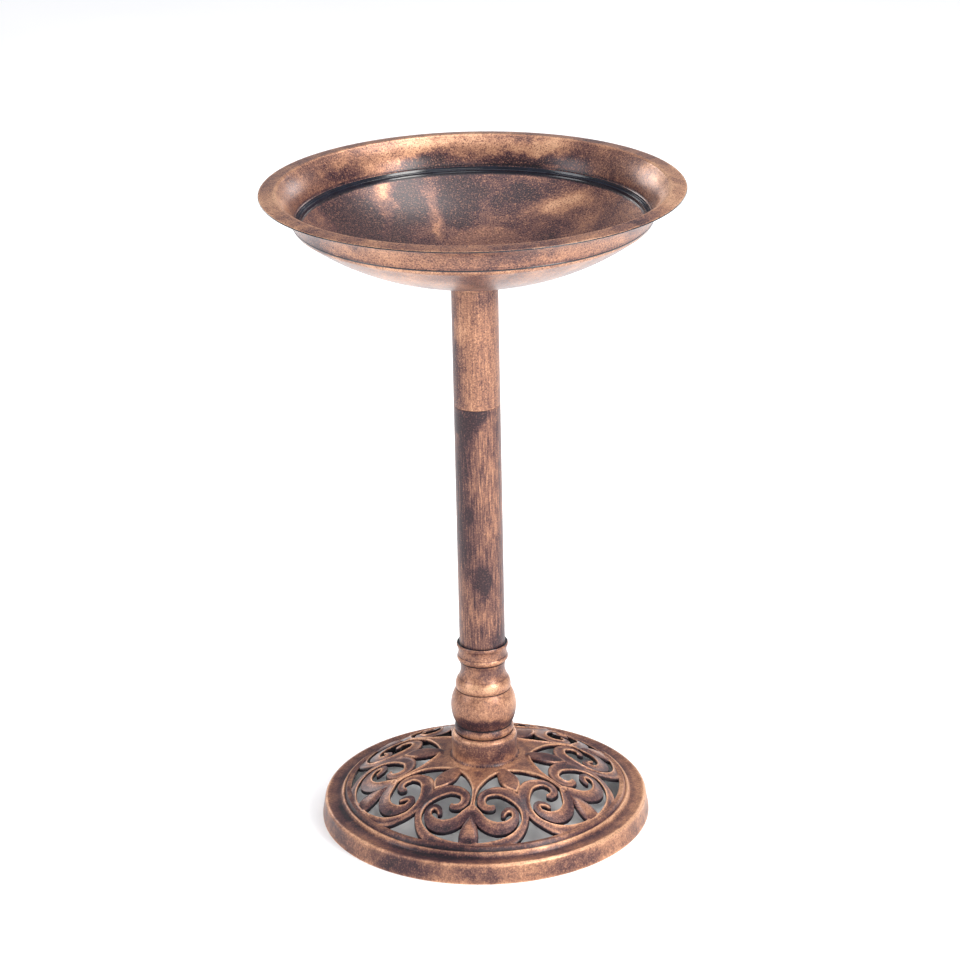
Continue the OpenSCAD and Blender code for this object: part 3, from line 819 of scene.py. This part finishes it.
def relief(x, v):
    """Height above the dome, how far a point is a bright edge (worn, partly a painted highlight), and how
    dark it is: deeper hollows, plus painted shade on the leaf and petal.
    """
    r = np.hypot(x, v)
    best = np.full(x.shape, CREVICE)
    edge = np.zeros(x.shape)
    shade = np.zeros(x.shape)

    # bright lightens worn edges, partly a painted highlight; dark is painted shade.
    def lay(field, height, bright, dark=0.0):
        nonlocal best, edge, shade
        height = np.where(field > 0, height, CREVICE + field)
        take = height > best
        edge = np.where(take, bright, edge)
        shade = np.where(take, dark, shade)
        best = np.where(take, height, best)

    # Loop: a plate, a little hollow, with a bead along the side of its scroll.
    d, inward, half = strongest(x, v, OUTER)
    inner_gap = half - inward
    plate = -0.9 + 0.8 * ease(0, 1.4, d) - 0.5 * ease(2.0, 4.5, d)
    bead = -0.9 + 1.7 * bump_over(inner_gap, 1.2, 1.2)
    lay(d, np.maximum(plate, bead), line_over(inner_gap, 1.0, 0.8))

    # Inner scroll: beaded on the side of the scroll, rounding down on the other.
    d, inward, half = strongest(x, v, INNER)
    inner_gap, outer_gap = half - inward, half + inward
    plate = -1.4 + 1.9 * np.sqrt(np.clip(outer_gap / (half * 1.6), 0, 1)) - 0.5 * ease(1.0, 3.0, inner_gap)
    plate = np.minimum(plate, -0.9 + 1.5 * ease(0, 1.2, d))
    bead = -0.6 + 1.7 * bump_over(inner_gap, 1.2, 1.2)
    lay(d, np.maximum(plate, bead), line_over(inner_gap, 1.0, 0.8))

    # Hub plate: a bead along each arc round a petal.
    near, far = hub_distances(x, v)
    d = np.minimum(near, far)
    plate = -0.8 + 0.8 * ease(0, 1.2, d) - 0.5 * ease(1.8, 5.0, d)
    beads = np.maximum(bump_over(near, 1.2, 1.2), bump_over(far, 1.2, 1.2))
    lay(d, np.maximum(plate, -0.8 + 1.9 * beads), line_over(d, 1.0, 0.8))

    # Leaf and petal: convex drops with painted shade; the leaf's middle and the petal's rim are brightened
    # like edges.
    for place, leaf in enumerate(LEAVES):
        d = band_distance(x, v, leaf)[0]
        if place == 0:
            d = np.minimum(d, LEAF_END * PATTERN - v)
        lay(d, -1.6 + 3.6 * drop_over(d, 8.0), 0.6 * ease(2.0, 6.0, d), 0.12)
    d = band_distance(x, v, PETAL)[0]
    along = x * math.sin(WEDGE) + v * math.cos(WEDGE)
    rim = bump_over(d, 1.0, 1.0) * ease(70, 78, along)
    lay(d, -0.6 + 2.0 * drop_over(d, 5.0) + 0.5 * rim, rim * 0.8, 0.22 * (1 - rim))

    # Ring outside the openings.
    d = r - OPEN_R
    lay(d, -0.7 + 0.5 * ease(0, 1.5, d), 0.5 * line_over(d, 0.8, 0.8))
    outer = ease(OPEN_R + 2.0, OPEN_R + 4.5, r)
    inner = ease(HUB_R * PATTERN - 3, HUB_R * PATTERN - 9, r)
    fade = (1 - outer) * (1 - inner)
    best = best * fade + RIM_DROP * outer
    depth = np.maximum(ease(0.2, 1.7, -best), shade) * fade
    return best, edge * fade, depth


RIM_H = 30.2
APRON_H = 21.6
COLLAR_R = 35.6
DOME_FOOT = (OPEN_R + 0.5, RIM_H)
DOME_TOP = (COLLAR_R + 1.6, 67.0)
DOME_BOW = 9.4
DOME_T = 4.6


def dome_height(r):
    """Height of the smooth dome over radius r."""
    points = np.array(arc(DOME_FOOT, DOME_TOP, DOME_BOW, 60) + [DOME_TOP])
    return np.interp(r, points[::-1, 0], points[::-1, 1])


def dome_at(points):
    """Height of the smooth dome at points seen from above."""
    return dome_height(np.hypot(points[:, 0], points[:, 1]))


def march_wedge(rows, columns, inner_r, outer_r, inset):
    """Cells of a polar grid in one wedge, cut where the solid's edge is inset away."""
    radii = np.linspace(inner_r, outer_r, rows + 1)
    angles = np.linspace(0, WEDGE, columns + 1)
    rr, aa = np.meshgrid(radii, angles, indexing="ij")
    x, v = rr * np.sin(aa), rr * np.cos(aa)
    value = solid_distance(x, v) - inset
    value[np.abs(value) < 1e-4] = 1e-4
    points, index, faces, rim = [], {}, [], []

    def corner(p):
        if p not in index:
            index[p] = len(points)
            points.append((x[p], v[p]))
        return index[p]

    def crossing(p, q):
        p, q = min(p, q), max(p, q)
        if (p, q) not in index:
            t = value[p] / (value[p] - value[q])
            index[p, q] = len(points)
            points.append(tuple(field[p] + (field[q] - field[p]) * t for field in (x, v)))
        return index[p, q]

    for i in range(rows):
        for j in range(columns):
            ring = [(i, j), (i, j + 1), (i + 1, j + 1), (i + 1, j)]
            signs = [value[c] > 0 for c in ring]
            if all(signs):
                faces.append([corner(c) for c in ring])
                continue
            if not any(signs):
                continue
            loop = []
            changes = sum(signs[k] != signs[(k + 1) % 4] for k in range(4))
            if changes == 4:
                for k in range(4):
                    if signs[k]:
                        c0, c1 = crossing(ring[k - 1], ring[k]), crossing(ring[k], ring[(k + 1) % 4])
                        faces.append([c0, corner(ring[k]), c1])
                        rim.append((c1, c0))
            else:
                for k in range(4):
                    if signs[k]:
                        loop.append(corner(ring[k]))
                    if signs[k] != signs[(k + 1) % 4]:
                        c = crossing(ring[k], ring[(k + 1) % 4])
                        loop.append(c)
                        if signs[k]:
                            out = c
                        else:
                            back = c
                rim.append((out, back))
                faces.append(loop)
    return np.array(points), faces, rim


def build_base():
    """Round openwork moulding: scrolls in relief over a dome, with collar, bead, channel and apron."""
    columns, rows, inset = 40, 96, 1.2
    inner_r, outer_r = DOME_TOP[0], OPEN_R + 5.0
    points, faces, rim = march_wedge(rows, columns, inner_r, outer_r, inset)
    side_tol = 1e-4

    # Rows of points from the inset edge out to the true edge, following the distance field.
    rim_ids = sorted({v for pair in rim for v in pair})
    order = {v: k for k, v in enumerate(rim_ids)}
    start = points[rim_ids]
    farthest, probe = 2.4, 0.02
    angle = np.arctan2(start[:, 0], start[:, 1])
    on_low, on_high = angle < side_tol, angle > WEDGE - side_tol
    high_side = np.array([math.sin(WEDGE), math.cos(WEDGE)])
    rows_out, current = [], start.copy()
    for target in (0.85, 0.45, 0.15, 0.0):
        for _ in range(4):
            px, pv = current[:, 0], current[:, 1]
            f = solid_distance(px, pv) - target
            gx = (solid_distance(px + probe, pv) - solid_distance(px - probe, pv)) / (2 * probe)
            gv = (solid_distance(px, pv + probe) - solid_distance(px, pv - probe)) / (2 * probe)
            norm = np.maximum(gx ** 2 + gv ** 2, 0.25)
            move = np.clip(f / norm, -0.4, 0.4)
            current = current - np.stack([gx * move, gv * move], 1)
            drift = current - start
            length = np.maximum(np.hypot(drift[:, 0], drift[:, 1]), 1e-9)
            current = start + drift * np.minimum(1, farthest / length)[:, None]
            current[on_low, 0] = 0.0
            current[on_high] = np.outer(current[on_high] @ high_side, high_side)
        rows_out.append(current.copy())

    flat = [tuple(p) for p in points]
    heights, edges, recesses = relief(points[:, 0], points[:, 1])
    z = list(dome_at(points) + heights)
    edge, recess_and_shade = list(edges), list(recesses)
    quads = [list(f) for f in faces]
    previous = list(rim_ids)

    def add_row(row, levels, edge_values, recess_values):
        """One more row of points, and the faces between it and the row before."""
        nonlocal previous
        ids = list(range(len(flat), len(flat) + len(row)))
        flat.extend(tuple(p) for p in row)
        z.extend(levels)
        edge.extend(edge_values)
        recess_and_shade.extend(recess_values)
        for a, b in rim:
            quads.append([previous[order[a]], previous[order[b]], ids[order[b]], ids[order[a]]])
        previous = ids

    for row in rows_out:
        heights, edges, recesses = relief(row[:, 0], row[:, 1])
        add_row(row, dome_at(row) + heights, edges, np.clip(recesses, 0, 0.5))
    # The wall under the edge, darker towards the underside.
    last = rows_out[-1]
    top_z = np.array([z[i] for i in previous])
    fall = dome_at(last) - DOME_T - top_z
    for share, dark in ((0.35, 0.75), (1.0, 1.0)):
        add_row(last, top_z + fall * share, [0.0] * len(last), [dark] * len(last))

    # Underside: a plain triangulation between the same edges.
    coarse = columns // 4
    spacing = 5.0
    inside_points = []
    for k in range(coarse + 1):
        a = WEDGE * k / coarse
        inside_points += [(r * math.sin(a), r * math.cos(a)) for r in (inner_r, outer_r)]
    for r in np.arange(inner_r + spacing, outer_r - 2, spacing):
        steps = max(1, round(r * WEDGE / spacing))
        turns = [WEDGE * k / steps for k in range(steps + 1)]
        inside_points += [(r * math.sin(a), r * math.cos(a)) for a in turns]
    extra = np.array(inside_points)
    on_arc = np.zeros(len(extra), bool)
    on_arc[:2 * (coarse + 1)] = True
    keep = on_arc | (solid_distance(extra[:, 0], extra[:, 1]) > 1.5)
    extra = extra[keep]
    bottom = np.vstack([last, extra])
    constraints = [(order[a], order[b]) for a, b in rim]
    radius_of, angle_of = np.hypot(bottom[:, 0], bottom[:, 1]), np.arctan2(bottom[:, 0], bottom[:, 1])
    for side in (angle_of < side_tol, angle_of > WEDGE - side_tol):
        chain = sorted(np.nonzero(side)[0], key=lambda k: radius_of[k])
        between = (bottom[chain[1:]] + bottom[chain[:-1]]) / 2
        solid = solid_distance(between[:, 0], between[:, 1]) > 0
        constraints += [(int(a), int(b)) for a, b, keep in zip(chain, chain[1:], solid) if keep]
    for arc_r in (inner_r, outer_r):
        chain = sorted(np.nonzero(np.abs(radius_of - arc_r) < side_tol)[0], key=lambda k: angle_of[k])
        constraints += [(int(a), int(b)) for a, b in zip(chain, chain[1:])]
    bottom_points = [Vector(tuple(p)) for p in bottom]
    made = geometry.delaunay_2d_cdt(bottom_points, constraints, [], 1, 1e-7)
    new_points, _, new_faces, origin = made[:4]
    new_points = np.array([tuple(p) for p in new_points])
    ids = []
    for k, sources in enumerate(origin):
        source = sources[0] if len(sources) else -1
        if 0 <= source < len(last):
            ids.append(previous[source])
        else:
            ids.append(len(flat))
            flat.append(tuple(new_points[k]))
            z.append(float(dome_height(np.hypot(*new_points[k]))) - DOME_T)
            edge.append(0.0)
            recess_and_shade.append(0.6)
    middles = np.array([new_points[list(face)].mean(0) for face in new_faces])
    solid = solid_distance(middles[:, 0], middles[:, 1]) > 0
    quads += [[ids[v] for v in reversed(face)] for face, keep in zip(new_faces, solid) if keep]

    # Twelve wedges, every other one mirrored, welded along their sides.
    wedge = np.array(flat)
    verts, all_faces, edges_all, recess_all = [], [], [], []
    for k in range(MOTIFS):
        for flip in (False, True):
            x = -wedge[:, 0] if flip else wedge[:, 0]
            a = MOTIF_TURN + k * 2 * WEDGE
            gx = x * math.cos(a) + wedge[:, 1] * math.sin(a)
            gy = x * math.sin(a) - wedge[:, 1] * math.cos(a)
            offset = len(verts)
            verts += list(zip(gx, gy, z))
            edges_all += edge
            recess_all += recess_and_shade
            for face in quads:
                ids = [v + offset for v in face]
                all_faces.append(ids if flip else ids[::-1])

    def ring(radius, height, count, edge_value, recess_value):
        ids = list(range(len(verts), len(verts) + count))
        for i in range(count):
            a = MOTIF_TURN + 2 * math.pi * i / count
            verts.append((radius * math.sin(a), -radius * math.cos(a), height))
        edges_all.extend([edge_value] * count)
        recess_all.extend([recess_value] * count)
        return ids

    def join(low, high):
        """Faces between two rings, where one may hold several times as many points."""
        fine, rough = (low, high) if len(low) > len(high) else (high, low)
        per = len(fine) // len(rough)
        for i in range(len(rough)):
            j = (i + 1) % len(rough)
            run = [fine[(i * per + k) % len(fine)] for k in range(per + 1)]
            face = run + [rough[j], rough[i]]
            all_faces.append(face if fine is low else face[::-1])

    fine, middle, rough = columns * 12, columns * 6, columns * 3
    bead_r, apron_r = OPEN_R + 9.6, BASE_R - 2.8
    rim_line = [(bead_r - 2.6, RIM_H - 4.4)]
    rim_line += arc((bead_r + 1.2, APRON_H + 2.8), (bead_r - 2, RIM_H - 4.6), 1.0, 8)[::-1]
    rim_line += arc((apron_r - 4, APRON_H), (bead_r + 1.8, APRON_H + 0.2), -0.9, 12)[::-1]
    rim_line += arc((apron_r, APRON_H - 3.4), (apron_r - 4, APRON_H), 1.1, 8)[::-1]
    rim_line += [(apron_r + 1.2, 11.0), (BASE_R, 2.0), (BASE_R, 0.0)]
    start = (outer_r, float(dome_height(outer_r)) + RIM_DROP)
    outline_out = [start] + rim_line
    collar_line = [(inner_r, 67.0), (COLLAR_R + 0.7, 68.3), (COLLAR_R + 0.2, 69.6), (COLLAR_R, 71.5)]
    collar_line += [(COLLAR_R, 78.0), (COLLAR_R, FOOT_Z - 7)]
    collar_line += arc((COLLAR_R, FOOT_Z - 7), (COLLAR_R - 5, FOOT_Z), 1.6, 8)[1:]
    collar_line += [(COLLAR_R - 5, FOOT_Z), (ROD_HOLE, FOOT_Z)]
    under_in = [(ROD_HOLE, FOOT_Z - 4), (COLLAR_R - 4, FOOT_Z - 4), (COLLAR_R - 4, 65.0),
                (inner_r, float(dome_height(inner_r)) - DOME_T)]
    under_out = [(outer_r, float(dome_height(outer_r)) - DOME_T), (bead_r + 4, APRON_H - 4.5),
                 (apron_r - 8, APRON_H - 4.5), (BASE_R - 6, APRON_H - 7), (BASE_R - 4.8, 0.0)]

    def lathe_rings(line, count, wear):
        pts = densify(line, spacing, closed=False) + line[-1:]
        return [ring(r, level, count, *wear(r, level)) for r, level in pts]

    def rim_wear(r, level):
        near_bead = line_over(r, bead_r, 1.6)
        near_edge = line_over(math.hypot(r - apron_r + 1.2, level - APRON_H + 1.0), 0, 2.6)
        near_foot = line_over(math.hypot(r - BASE_R, level), 0, 2.0)
        groove = line_over(r, bead_r - 3.2, 1.2)
        in_channel = level < APRON_H + 1 and r < apron_r - 5
        channel = line_over(r, bead_r + 4.5, 4.0) if in_channel else 0
        return max(near_bead, near_edge, near_foot), max(0.40 * groove, 0.20 * channel)

    def collar_wear_and_shade(r, level):
        near_edge = line_over(math.hypot(r - COLLAR_R + 1.5, level - FOOT_Z + 2), 0, 3.0)
        # Painted shade on the collar's top under the baluster, and a darker line at the crease round its
        # foot.
        shade_under_baluster = 0.8 if r < 31 and level > 90 else 0
        return near_edge, 0.35 * line_over(level, 67.5, 1.8) + shade_under_baluster

    def underside_darkening(r, level):
        return 0, 0.8

    out_rings = [ring(outer_r, start[1], fine, 0, 0)] + lathe_rings(outline_out, middle, rim_wear)[1:]
    in_rings = [ring(inner_r, float(dome_height(inner_r)), fine, 0, 0.6)]
    in_rings += lathe_rings(collar_line, middle, collar_wear_and_shade)[1:]
    under_in_rings = lathe_rings(under_in, rough, underside_darkening)
    under_out_rings = lathe_rings(under_out, rough, underside_darkening)
    for rings in (out_rings, in_rings, under_in_rings, under_out_rings):
        for low, high in zip(rings, rings[1:]):
            join(low, high)
    join(out_rings[-1], under_out_rings[-1])
    join(in_rings[-1], under_in_rings[0])

    piece = make_piece("base_openwork", verts, all_faces, [BASE_COPPER], edge=edges_all,
                       recess_and_shade=recess_all, node="base", crease=42)
    weld_and_orient(piece, 0.02 * MM)
    return piece


def weld_and_orient(piece, gap):
    """Join the wedges' shared points and turn every face outwards."""
    mesh = bmesh.new()
    mesh.from_mesh(piece.data)
    bmesh.ops.remove_doubles(mesh, verts=mesh.verts, dist=gap)
    bmesh.ops.dissolve_degenerate(mesh, dist=gap / 4, edges=mesh.edges)
    bmesh.ops.recalc_face_normals(mesh, faces=mesh.faces)
    mesh.to_mesh(piece.data)
    mesh.free()
    piece.data.set_sharp_from_angle(angle=math.radians(42))
    piece.data.update()


# ---- assembly
PIECES = {
    "bowl_finish": [build_bowl()],
    "base_finish": [build_base()],
    "baluster_finish": [build_baluster()],
    "tube_finish": [build_tube("upper_tube_skin", "upper_tube", UPPER_COPPER),
                    build_tube("lower_tube_skin", "lower_tube", LOWER_COPPER)],
    "plain_plastic": [build_coupler()],
    "socket_finish": [build_socket()],
    "zinc_steel": [build_rod(),
                   build_pair("washer_pair", "rod_washers", washer_rings, 2.0, 12.0, ROD_R + 0.2),
                   build_pair("nut_pair", "rod_nuts", nut_rings, 6.5, 13.0, ROD_R)],
}


# ---- studio
def build_floor():
    """Wide pale floor under the object."""
    mesh = bpy.data.meshes.new("studio_floor")
    size = 9.0
    corners = [(-size, -size, 0), (size, -size, 0), (size, size, 0), (-size, size, 0)]
    mesh.from_pydata(corners, [], [(0, 1, 2, 3)])
    n = Nodes("studio_white")
    place = n.place()
    tone = n.noise(place, 1.5, 2.0, 0.5)
    paper = n.ramp(tone, [(0.3, (0.90, 0.90, 0.91)), (0.7, (0.93, 0.93, 0.93))])
    n.feed("Base Color", paper)
    n.feed("Emission Color", paper)
    # The floor glows a little away from the base, so that it stays white to the edges of the view.
    n.feed("Emission Strength", n.fade(n.length(place), 0.06, 0.36, 0.0, 0.28))
    n.feed("Roughness", 0.9)
    mesh.materials.append(n.material)
    floor = bpy.data.objects.new("studio_floor", mesh)
    bpy.context.scene.collection.objects.link(floor)


def soft_light(name, place, aim, size, power, colour):
    """Rectangular lamp of a size in metres, aimed at a point."""
    light = bpy.data.lights.new(name, "AREA")
    light.shape = "RECTANGLE"
    light.size, light.size_y = size
    light.energy = power
    light.color = colour
    lamp = bpy.data.objects.new(name, light)
    lamp.location = place
    lamp.rotation_euler = (Vector(aim) - Vector(place)).to_track_quat("-Z", "Y").to_euler()
    bpy.context.scene.collection.objects.link(lamp)


def build_studio():
    """Floor, dome of light that is brighter overhead, and six soft lamps."""
    build_floor()
    world = bpy.data.worlds.new("studio_world")
    world.use_nodes = True
    tree = world.node_tree
    place = tree.nodes.new("ShaderNodeTexCoord")
    height = tree.nodes.new("ShaderNodeSeparateXYZ")
    tree.links.new(place.outputs["Generated"], height.inputs[0])
    sky = tree.nodes.new("ShaderNodeMapRange")
    sky.interpolation_type = "SMOOTHSTEP"
    for label, value in (("From Min", 0.78), ("From Max", 0.98), ("To Min", 0.32), ("To Max", 2.00)):
        sky.inputs[label].default_value = value
    tree.links.new(height.outputs["Z"], sky.inputs["Value"])
    tree.nodes["Background"].inputs["Color"].default_value = (0.95, 0.965, 1.0, 1)
    tree.links.new(sky.outputs["Result"], tree.nodes["Background"].inputs["Strength"])
    bpy.context.scene.world = world
    middle = (0, 0, 0.4)
    soft_light("key_right", (2.3, -2.1, 1.8), middle, (1.2, 1.6), 96, (1.0, 0.97, 0.93))
    soft_light("front_soft", (0.5, -3.0, 1.0), middle, (1.6, 1.2), 22, (1.0, 0.98, 0.95))
    soft_light("fill_left", (-2.6, -0.9, 1.5), middle, (1.0, 1.6), 26, (0.96, 0.97, 1.0))
    soft_light("top_right", (0.9, 0.4, 2.7), (0, 0, 0.65), (1.8, 0.8), 34, (1.0, 0.98, 0.95))
    soft_light("rim_left", (-1.9, 2.5, 1.5), (0, 0, 0.65), (1.2, 1.0), 22, (1.0, 0.98, 0.97))
    soft_light("rim_right", (1.9, 2.7, 1.3), (0, 0, 0.65), (1.0, 0.8), 12, (1.0, 0.97, 0.95))
    bpy.context.scene.view_settings.view_transform = "Standard"


def build_camera():
    """Camera at the height and slope of the reference view, with its slight roll."""
    camera = bpy.data.cameras.new("view")
    camera.lens = 125.45
    camera.sensor_width = 36.0
    place = Vector((0.0, -3.310, 1.673))
    pitch, roll = math.radians(21.22), math.radians(1.25)
    tilt = Matrix.Rotation(math.pi / 2 - pitch, 4, "X") @ Matrix.Rotation(-roll, 4, "Z")
    camera.shift_x = 0.0013
    eye = bpy.data.objects.new("view", camera)
    eye.matrix_world = Matrix.Translation(place) @ tilt
    bpy.context.scene.collection.objects.link(eye)
    bpy.context.scene.camera = eye


build_studio()
build_camera()
